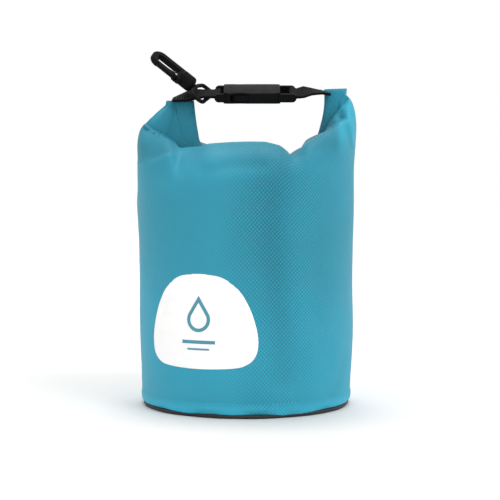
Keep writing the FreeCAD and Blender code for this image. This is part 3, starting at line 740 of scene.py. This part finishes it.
# half of the outline, from the top to the bottom: across, height
PRINT_HALF_OUTLINE = [
    (0, 108.6), (17.1, 106.3), (29.5, 97.7), (37.5, 84.7), (42.3, 69.8), (44, 57.3), (42.4, 47.1),
    (36.6, 40.8), (26.6, 38.1), (0, 36.9),
]
PRINT_PROUD, MARK_PROUD, INK_THICK = 0.32, 0.52, 0.45
MARK_CENTRE, MARK_RADIUS, MARK_LINE = 74.2, 9.4, 2.6
DROP_TIP = 1.9  # the drop's tip is this many radii above its centre
# name, lower edge, half length, height
MARK_BARS = [("mark_bar_long", 56.0, 13.5, 2.5), ("mark_bar_short", 51.2, 9.0, 1.3)]


def printed(name, skin, flat, proud, material, closed=False):
    """A thin layer of print from a grid of (across, height) points on the print's upright plane."""
    across_x, across_y = cos(PRINT_TURN), sin(PRINT_TURN)
    outward = (across_y, -across_x, 0)

    def layer(offset):
        return np.array(
            [[skin.point((a * across_x, a * across_y, z), outward, offset) for a, z in row] for row in flat]
        )

    points, faces = slab(layer(proud), layer(proud - INK_THICK), closed)
    return new_object(name, new_mesh(name, points, faces), material)


def print_panel(skin, material):
    """The print's plain background, with a rounded outline."""
    right = PRINT_HALF_OUTLINE
    left = [(-a, z) for a, z in reversed(right[1:-1])]
    dense = curve_through(right + left + right[:3], 500)
    dense = dense[dense[:, 0] >= 0]
    top, bottom = dense[:, 1].max(), dense[:, 1].min()
    sweep = np.cos(np.linspace(pi - 0.02, 0.02, 80))
    heights = (top + bottom) / 2 + (top - bottom) / 2 * sweep
    order = np.argsort(dense[:, 1])
    half = np.interp(heights, dense[order, 1], dense[order, 0])
    flat = [[(a * h, z) for a in np.linspace(-1, 1, 60)] for h, z in zip(half, heights)]
    return printed("print_panel", skin, flat, PRINT_PROUD, material)


def drop_outline(radius):
    """A water drop: a round bottom and two straight sides that meet above it."""
    tip = (0.0, MARK_CENTRE + DROP_TIP * radius)
    lean = radians(30)
    turns = np.linspace(lean, -pi - lean, 80)
    arc = [(radius * cos(a), MARK_CENTRE + radius * sin(a)) for a in turns]
    return resample([tip] + arc + [tip], 97)[:-1]


def print_mark(skin, material):
    """Generic mark: an open water drop over two plain bars."""
    outer, inner = drop_outline(MARK_RADIUS), drop_outline(MARK_RADIUS - MARK_LINE)
    ring = [inner + (outer - inner) * t for t in np.linspace(0, 1, 4)]
    pieces = [printed("mark_drop", skin, ring, MARK_PROUD, material, closed=True)]
    for name, low, half, height in MARK_BARS:
        flat = [[(a, z) for a in np.linspace(-half, half, 30)] for z in np.linspace(low, low + height, 4)]
        pieces.append(printed(name, skin, flat, MARK_PROUD, material))
    return pieces


# ---------------- webbing
STRAP_HALF_WIDTH = 12.3
STRAP_HALF = 1.0
STRAP_STATIONS, STRAP_COLUMNS = 46, 19
# along the strap: x, height of its middle, tilt in degrees, share of the full width
LEFT_STRAP = [
    (-58.5, 242.4, 8, 0.85), (-53, 243.6, 14, 0.97), (-46, 245.4, 21, 1), (-40, 246.6, 20, 1),
    (-34, 247, 16, 1), (-24, 247, 16, 1),
]
RIGHT_STRAP = [
    (67, 247.0, 6, 0.9), (60, 248.3, 8, 0.95), (52, 248.8, 14, 1), (46, 248.4, 22, 1),
    (42, 247.6, 20, 1), (38.8, 247, 16, 1),
]
LEFT_BAR, RIGHT_BAR = -21.5, 36.5  # the buckle's two bars, in X
BAR_GAP = 4.2  # the flat part of the strap stops this far from the bar's middle
LOOP_RADIUS = 2.15
LOOP_INNER_SHARE = (LOOP_RADIUS - 0.5) / LOOP_RADIUS
LAYER_GAP = 0.04  # half the gap between the strap's two layers
THREAD_RADIUS, THREAD_SIDES = 0.28, 8
# along a stitch: share of its length, share of its radius, how far its middle stands proud
STITCH_PROFILE = [(0, 0.15, -0.25), (0.1, 0.75, 0.0), (0.5, 1.0, 0.12), (0.9, 0.75, 0.0), (1, 0.15, -0.25)]
TACK_ROWS, TACK_PITCH, TACK_STITCHES = 5, 1.35, 9
STITCH_FIRST, STITCH_PITCH, STITCH_LENGTH = -0.84, 0.187, 0.165  # shares of the strap's half width


def strap_stations(course, x):
    """Places along the strap: (x, z, tilt, width share)."""
    keys = np.array(sorted(course), float)
    return np.stack([x, *(np.interp(x, keys[:, 0], keys[:, k]) for k in (1, 2, 3))], axis=1)


def strap_point(station, side, rise):
    """A point on the strap: side is -1..1 across it, rise is in millimetres off its middle."""
    x, z, tilt, share = station
    level, steep = cos(radians(tilt)), sin(radians(tilt))
    across = side * STRAP_HALF_WIDTH * share
    return (x, across * level - rise * steep, z + across * steep + rise * level)


def webbing(name, course, bar_x, material):
    """Two layers of webbing sewn together, whose fold goes round a buckle's bar."""
    side = copysign(1, course[0][0] - bar_x)
    flat_end = bar_x + side * BAR_GAP
    stations = strap_stations(course, np.linspace(course[0][0], flat_end, STRAP_STATIONS))
    sides = np.linspace(-1, 1, STRAP_COLUMNS)
    edge = 1 - 0.22 * np.abs(sides) ** 14
    outer, inner = [], []

    def add_layer(path, sign):
        for station in path:
            outer.append([strap_point(station, s, sign * STRAP_HALF * e) for s, e in zip(sides, edge)])
            inner.append([strap_point(station, s, sign * LAYER_GAP) for s in sides])

    add_layer(stations, 1)
    _, *place = stations[-1]
    for angle in np.linspace(radians(60), radians(300), 17):
        for rows, size in ((outer, 1), (inner, LOOP_INNER_SHARE)):
            reach, rise = LOOP_RADIUS * cos(angle) * size, LOOP_RADIUS * sin(angle) * size
            x = bar_x + side * reach
            rows.append([strap_point((x, *place), s, rise) for s in sides])
    add_layer(stations[::-1], -1)

    points, faces = slab(np.array(outer), np.array(inner))
    mesh = new_mesh(name, points, faces)
    ridge = np.array(outer)[:, STRAP_COLUMNS // 2]
    run = np.r_[0, np.cumsum(np.linalg.norm(np.diff(ridge, axis=0), axis=1))]
    map_cloth(mesh, len(outer), STRAP_COLUMNS, sides * STRAP_HALF_WIDTH, run)
    return new_object(name, mesh, material)


def thread(points, faces, start, end, normal):
    """Adds one rounded stitch to a list of points and faces."""
    start, end, normal = np.array(start), np.array(end), np.array(normal)
    side = np.cross((end - start) / np.linalg.norm(end - start), normal)
    first = len(points)
    for share, size, proud in STITCH_PROFILE:
        centre = start + (end - start) * share + normal * proud
        for angle in round_angles(THREAD_SIDES):
            out = side * cos(angle) + normal * sin(angle)
            points.append(centre + THREAD_RADIUS * size * out)
    faces.extend(f[::-1] for f in grid_faces(len(STITCH_PROFILE), THREAD_SIDES, first, True))


def bar_tack(name, course, first_x, material):
    """Rows of thread that hold the strap to the roll's end."""
    points, faces = [], []
    pitch = copysign(TACK_PITCH, first_x)
    for station in strap_stations(course, first_x - pitch * np.arange(TACK_ROWS)):
        tilt = radians(station[2])
        normal = (0, -sin(tilt), cos(tilt))
        for stitch in range(TACK_STITCHES):
            low = STITCH_FIRST + stitch * STITCH_PITCH
            ends = [strap_point(station, s, STRAP_HALF + 0.08) for s in (low, low + STITCH_LENGTH)]
            thread(points, faces, *ends, normal)
    return new_object(name, new_mesh(name, points, faces), material)


# ---------------- materials
class Nodes:
    """Short calls that build one material's nodes."""

    def __init__(self, name):
        self.material = bpy.data.materials.new(name)
        self.material.use_nodes = True
        self.tree = self.material.node_tree
        self.shader = self.tree.nodes["Principled BSDF"]

    def feed(self, socket, value):
        """Links or sets an input."""
        if isinstance(value, bpy.types.NodeSocket):
            self.tree.links.new(value, socket)
        else:
            socket.default_value = value

    def add(self, kind, values=(), **settings):
        node = self.tree.nodes.new("ShaderNode" + kind)
        for key, value in settings.items():
            setattr(node, key, value)
        for socket, value in dict(values).items():
            self.feed(node.inputs[socket], value)
        return node

    def place(self):
        """The point on the piece, in metres."""
        return self.add("TexCoord").outputs["Object"]

    def cloth(self):
        """The point on the flat cloth, in metres."""
        return self.add("UVMap", uv_map="cloth").outputs["UV"]

    def mapped(self, vector, **change):
        return self.add("Mapping", {"Vector": vector, **change}).outputs["Vector"]

    def split(self, vector):
        return self.add("SeparateXYZ", {"Vector": vector}).outputs

    def math(self, operation, first, second=0.0):
        return self.add("Math", {0: first, 1: second}, operation=operation).outputs[0]

    def noise(self, vector, scale, detail=3.0, roughness=0.5):
        values = {"Vector": vector, "Scale": scale, "Detail": detail, "Roughness": roughness}
        return self.add("TexNoise", values).outputs["Fac"]

    def spread(self, value, low, high, to_low, to_high):
        values = {"Value": value, "From Min": low, "From Max": high, "To Min": to_low, "To Max": to_high}
        return self.add("MapRange", values).outputs["Result"]

    def mix(self, factor, first, second, blend="MIX"):
        node = self.add("Mix", {"Factor": factor}, data_type="RGBA", blend_type=blend)
        for socket, value in zip([s for s in node.inputs if s.type == "RGBA"], (first, second)):
            self.feed(socket, value)
        return [s for s in node.outputs if s.type == "RGBA"][0]

    def bump(self, height, distance, strength=1.0, below=None):
        values = {"Height": height, "Distance": distance, "Strength": strength}
        if below is not None:
            values["Normal"] = below
        return self.add("Bump", values).outputs["Normal"]

    def finish(self, colour, roughness, normal=None, **constants):
        inputs = {"Base Color": colour, "Roughness": roughness, "Normal": normal, **constants}
        for socket, value in inputs.items():
            if value is not None:
                self.feed(self.shader.inputs[socket.replace("_", " ")], value)
        return self.material


def stripes(nodes, coordinate, pitch, line):
    """1 on lines a pitch apart and 0 between them; line is the share of the pitch that a line takes."""
    from_middle = nodes.math("PINGPONG", nodes.math("DIVIDE", coordinate, pitch), 0.5)
    return nodes.spread(from_middle, 0.5 - line, 0.5 - 0.35 * line, 0.0, 1.0)


def crossed(nodes, operation, first, second, pitch, line):
    """Stripes along two coordinates, joined."""
    return nodes.math(operation, stripes(nodes, first, pitch, line), stripes(nodes, second, pitch, line))


# metres from one line of a pattern to the next
WEAVE_PITCH, FINE_PITCH, CANVAS_PITCH = 0.00215, 0.00065, 0.0012
RIB_PITCH, TWILL_PITCH, PLY_PITCH = 0.0011, 0.0014, 0.00035
WEAVE_LINE = 0.17  # the thicker threads' share of their pitch
DIAGONAL = radians(45)
MATT = 0.06  # how much black plastic and webbing mirror


def coated_fabric(name, colour, deep_colour):
    """Coated ripstop: a grid of thicker threads at 45 degrees, under a thin smooth coating."""
    nodes = Nodes(name)
    place = nodes.place()
    axes = nodes.split(nodes.mapped(nodes.cloth(), Rotation=(0, 0, DIAGONAL)))
    fine = crossed(nodes, "ADD", axes["X"], axes["Y"], FINE_PITCH, 0.3)
    grid = crossed(nodes, "MAXIMUM", axes["X"], axes["Y"], WEAVE_PITCH, WEAVE_LINE)
    # the weave is drawn fully only across the middle of the front, where light grazes it, and fades to the
    # left and right: partly painted light on a real pattern
    across = nodes.split(place)["X"]
    toward_left = nodes.spread(across, -0.05, 0.01, 0.3, 1.0)
    toward_right = nodes.spread(across, 0.045, 0.075, 1.0, 0.5)
    grid = nodes.math("MULTIPLY", grid, nodes.math("MULTIPLY", toward_left, toward_right))
    patches = nodes.noise(place, 14.0, 3.0)
    crumple = nodes.noise(place, 55.0, 4.0, 0.55)
    taut = nodes.noise(nodes.mapped(place, Scale=(1, 1, 0.4)), 13.0, 1.0)
    # painted light and shade: the cloth's shade attribute multiplies its colour, together with random
    # patches of tone and the weave's lines
    shade = nodes.add("Attribute", attribute_name="shade").outputs["Fac"]
    tone = nodes.math("MULTIPLY", nodes.spread(patches, 0.3, 0.7, 0.95, 1.05), shade)
    seen = nodes.math("MULTIPLY", grid, nodes.spread(taut, 0.35, 0.65, 0.14, 0.34))
    tone = nodes.math("MULTIPLY", tone, nodes.math("SUBTRACT", 1.02, seen))
    base = nodes.mix(nodes.spread(crumple, 0.35, 0.75, 0.0, 0.35), colour, deep_colour)
    painted_shade_and_tone = nodes.add("CombineColor", {"Red": tone, "Green": tone, "Blue": tone}).outputs[0]
    relief = nodes.bump(fine, 0.00005, 0.35, nodes.bump(crumple, 0.0016, 0.22))
    raised = nodes.math("MULTIPLY", grid, nodes.spread(taut, 0.35, 0.65, 0.45, 1.3))
    relief = nodes.bump(raised, 0.0003, 1.0, relief)
    roughness = nodes.spread(patches, 0.3, 0.7, 0.46, 0.58)
    return nodes.finish(nodes.mix(1.0, base, painted_shade_and_tone, "MULTIPLY"), roughness, relief, Specular_IOR_Level=0.2)


def woven_webbing(name):
    """Narrow black webbing: fine ribs across it, crossed by a slanting twill."""
    nodes = Nodes(name)
    cloth = nodes.cloth()
    ribs = stripes(nodes, nodes.split(cloth)["Y"], RIB_PITCH, 0.45)
    slanted = nodes.mapped(cloth, Rotation=(0, 0, radians(34)))
    twill = stripes(nodes, nodes.split(slanted)["X"], TWILL_PITCH, 0.4)
    weave = nodes.math("MULTIPLY", ribs, nodes.spread(twill, 0, 1, 1.0, 0.4))
    fuzz = nodes.noise(nodes.place(), 900.0, 2.0)
    dark, light = (0.003, 0.003, 0.0035, 1), (0.016, 0.016, 0.017, 1)
    colour = nodes.mix(nodes.math("MULTIPLY", weave, fuzz), dark, light)
    relief = nodes.bump(weave, 0.00035, 1.0, nodes.bump(fuzz, 0.0001, 0.4))
    return nodes.finish(colour, 0.75, relief, Specular_IOR_Level=MATT)


def moulded_plastic(name):
    """Black acetal with a fine spark-eroded grain and slightly polished high spots."""
    nodes = Nodes(name)
    place = nodes.place()
    grain, cloud = nodes.noise(place, 2600.0, 2.0, 0.6), nodes.noise(place, 120.0, 3.0)
    colour = nodes.mix(cloud, (0.003, 0.003, 0.0033, 1), (0.007, 0.007, 0.0075, 1))
    relief = nodes.bump(grain, 0.00006, 0.5, nodes.bump(cloud, 0.0004, 0.12))
    roughness = nodes.spread(cloud, 0.3, 0.7, 0.56, 0.68)
    return nodes.finish(colour, roughness, relief, Specular_IOR_Level=MATT)


def base_fabric(name):
    """Black coated panel with a coarse embossed canvas; where it shows under the hem its black is partly
    painted shade.
    """
    nodes = Nodes(name)
    place = nodes.place()
    axes = nodes.split(place)
    canvas = crossed(nodes, "ADD", axes["X"], axes["Y"], CANVAS_PITCH, 0.3)
    scuffs = nodes.noise(place, 60.0, 5.0, 0.65)
    dark, light = (0.006, 0.006, 0.007, 1), (0.020, 0.020, 0.023, 1)
    colour = nodes.mix(nodes.spread(scuffs, 0.45, 0.8, 0, 1), dark, light)
    relief = nodes.bump(canvas, 0.00015, 0.7, nodes.bump(scuffs, 0.0005, 0.3))
    return nodes.finish(colour, nodes.spread(scuffs, 0.3, 0.7, 0.5, 0.68), relief)


def screen_print(name, colour, worn):
    """A flat layer of ink that shows the fabric's weave faintly."""
    nodes = Nodes(name)
    place = nodes.place()
    blotch = nodes.noise(place, 90.0, 3.0)
    axes = nodes.split(nodes.mapped(place, Rotation=(0, DIAGONAL, 0)))
    weave = crossed(nodes, "MAXIMUM", axes["X"], axes["Z"], WEAVE_PITCH, WEAVE_LINE)
    tone = nodes.mix(nodes.spread(blotch, 0.3, 0.8, 0, 1), colour, worn)
    relief = nodes.bump(weave, 0.00008, 0.5, nodes.bump(blotch, 0.0006, 0.12))
    return nodes.finish(tone, 0.42, relief)


def sewing_thread(name):
    """Twisted black polyester thread."""
    nodes = Nodes(name)
    turned = nodes.mapped(nodes.place(), Rotation=(0.6, 0.4, 0.6))
    ply = stripes(nodes, nodes.split(turned)["X"], PLY_PITCH, 0.4)
    colour = nodes.mix(ply, (0.006, 0.006, 0.0065, 1), (0.026, 0.026, 0.028, 1))
    return nodes.finish(colour, 0.55, nodes.bump(ply, 0.00008, 0.8))


def drawn_steel(name):
    """Bright steel wire and pin with fine drawing lines."""
    nodes = Nodes(name)
    lines = nodes.noise(nodes.mapped(nodes.place(), Scale=(1, 1, 12)), 700.0, 2.0)
    colour = nodes.mix(lines, (0.42, 0.42, 0.43, 1), (0.60, 0.60, 0.60, 1))
    roughness = nodes.spread(lines, 0.3, 0.7, 0.22, 0.38)
    return nodes.finish(colour, roughness, nodes.bump(lines, 0.00003, 0.4), Metallic=1.0)


def seam_tape(name):
    """Grey-blue sealing tape."""
    nodes = Nodes(name)
    mottle = nodes.noise(nodes.place(), 240.0, 3.0)
    colour = nodes.mix(mottle, (0.10, 0.22, 0.27, 1), (0.14, 0.28, 0.33, 1))
    return nodes.finish(colour, 0.5, nodes.bump(mottle, 0.0002, 0.3))


def floor_material(name):
    nodes = Nodes(name)
    grain = nodes.noise(nodes.place(), 3.0, 2.0)
    return nodes.finish(nodes.mix(grain, (0.70, 0.695, 0.69, 1), (0.71, 0.705, 0.70, 1)), 0.7)


# ---------------- the set
FLOOR_HALF = 6.0
# name, where it comes from, apparent size in degrees, energy
LIGHTS = [("key", (0.75, -0.75, 1.0), 28, 0.9), ("top", (0.0, 0.34, 1.3), 24, 1.25)]
EYE, AIM = (0.0032, -1.2, 0.190), (0.0032, 0, 0.1224)
SENSOR_WIDTH, LENS = 36.0, 108.0  # in millimetres


def floor(material):
    corners = [(a * FLOOR_HALF, b * FLOOR_HALF, 0) for a, b in ((-1, -1), (1, -1), (1, 1), (-1, 1))]
    mesh = bpy.data.meshes.new("floor")
    mesh.from_pydata(corners, [], [(0, 1, 2, 3)])
    mesh.materials.append(material)
    linked("floor", mesh)


def studio():
    """A white sky and broad, even lights from far away."""
    scene = bpy.context.scene
    scene.world = bpy.data.worlds.new("studio")
    scene.world.use_nodes = True
    background = scene.world.node_tree.nodes["Background"]
    background.inputs["Color"].default_value = (1, 1, 1, 1)
    background.inputs["Strength"].default_value = 1.0
    for name, comes_from, size, energy in LIGHTS:
        data = bpy.data.lights.new(name, "SUN")
        data.energy, data.angle = energy, radians(size)
        lamp = linked(name, data)
        lamp.rotation_euler = Vector(comes_from).to_track_quat("Z", "Y").to_euler()
    scene.view_settings.view_transform = "Standard"


def camera():
    data = bpy.data.cameras.new("camera")
    data.sensor_width, data.lens = SENSOR_WIDTH, LENS
    eye = linked("camera", data)
    eye.location = EYE
    eye.rotation_euler = (Vector(AIM) - eye.location).to_track_quat("-Z", "Y").to_euler()
    bpy.context.scene.camera = eye


# ---------------- assembly
BUCKLE_PARTS = ["buckle_female", "buckle_male", "latch_front", "latch_rear"]
HOOK_PARTS, STEEL_PARTS = ["hook_eye", "hook_body", "hook_gate"], ["gate_pin", "gate_spring"]
TAPE_HEIGHTS, TAPE_DEPTH = [6, 10, 14, 17.6], -1.4


def dress_hardware():
    """Moulded parts and metal keep their CAD shapes and get their finishes."""
    plastic, steel = moulded_plastic("plastic_black"), drawn_steel("steel")
    for material, names in ((plastic, BUCKLE_PARTS + HOOK_PARTS), (steel, STEEL_PARTS)):
        for name in names:
            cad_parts[name].data.materials.clear()
            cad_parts[name].data.materials.append(material)


def assemble():
    teal = coated_fabric("fabric_teal", (0.032, 0.310, 0.432, 1), (0.026, 0.268, 0.382, 1))
    tape = seam_tape("fabric_tape")
    black_webbing, black_thread = woven_webbing("webbing_black"), sewing_thread("thread_black")

    fabric = bag_fabric(relaxed(drape()), teal)
    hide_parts("body_shell")
    skin = Skin(fabric)

    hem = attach(hem_band(skin, teal), "bag")
    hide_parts("base_seam_band")
    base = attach(base_disc(base_fabric("base_black")), "bag")
    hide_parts("base_panel")
    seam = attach(back_seam(skin, teal), "bag")
    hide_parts("side_seam")
    grid = skin.round_grid(round_angles(160), TAPE_HEIGHTS, TAPE_DEPTH)
    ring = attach(inner_tape("base_tape", grid, tape, closed=True), "bag")
    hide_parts("base_seam_tape")
    behind = np.linspace(pi / 2 - 0.12, pi / 2 + 0.12, 12)
    grid = skin.round_grid(behind, np.linspace(20, 165, 50), TAPE_DEPTH)
    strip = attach(inner_tape("seam_tape", grid, tape), "bag")
    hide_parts("side_seam_tape")
    white = screen_print("print_white", (0.96, 0.955, 0.95, 1), (0.90, 0.90, 0.90, 1))
    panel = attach(print_panel(skin, white), "bag")
    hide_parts("print_patch")
    marks = print_mark(skin, screen_print("print_teal", (0.050, 0.250, 0.340, 1), (0.070, 0.280, 0.370, 1)))
    for piece in marks:
        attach(piece, "bag")
    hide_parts("print_mark")

    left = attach(webbing("webbing_left", LEFT_STRAP, LEFT_BAR, black_webbing), "bag")
    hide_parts("strap_left")
    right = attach(webbing("webbing_right", RIGHT_STRAP, RIGHT_BAR, black_webbing), "right_end")
    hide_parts("strap_right")
    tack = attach(bar_tack("tack_left", LEFT_STRAP, -55.0, black_thread), "bag")
    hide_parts("stitching_left")
    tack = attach(bar_tack("tack_right", RIGHT_STRAP, 65.0, black_thread), "right_end")
    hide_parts("stitching_right")

    roll, strip = rolled_mouth(teal), stiffener(black_webbing)
    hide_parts("rolled_mouth", "rolled_end_right")
    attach(ear_flap(teal), "bag")
    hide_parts("stiffener_strip", "stiffener_end_right")
    for piece in (fabric, roll, strip):
        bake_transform(piece)
    dress_hardware()


camera()
studio()
floor(floor_material("floor"))
assemble()
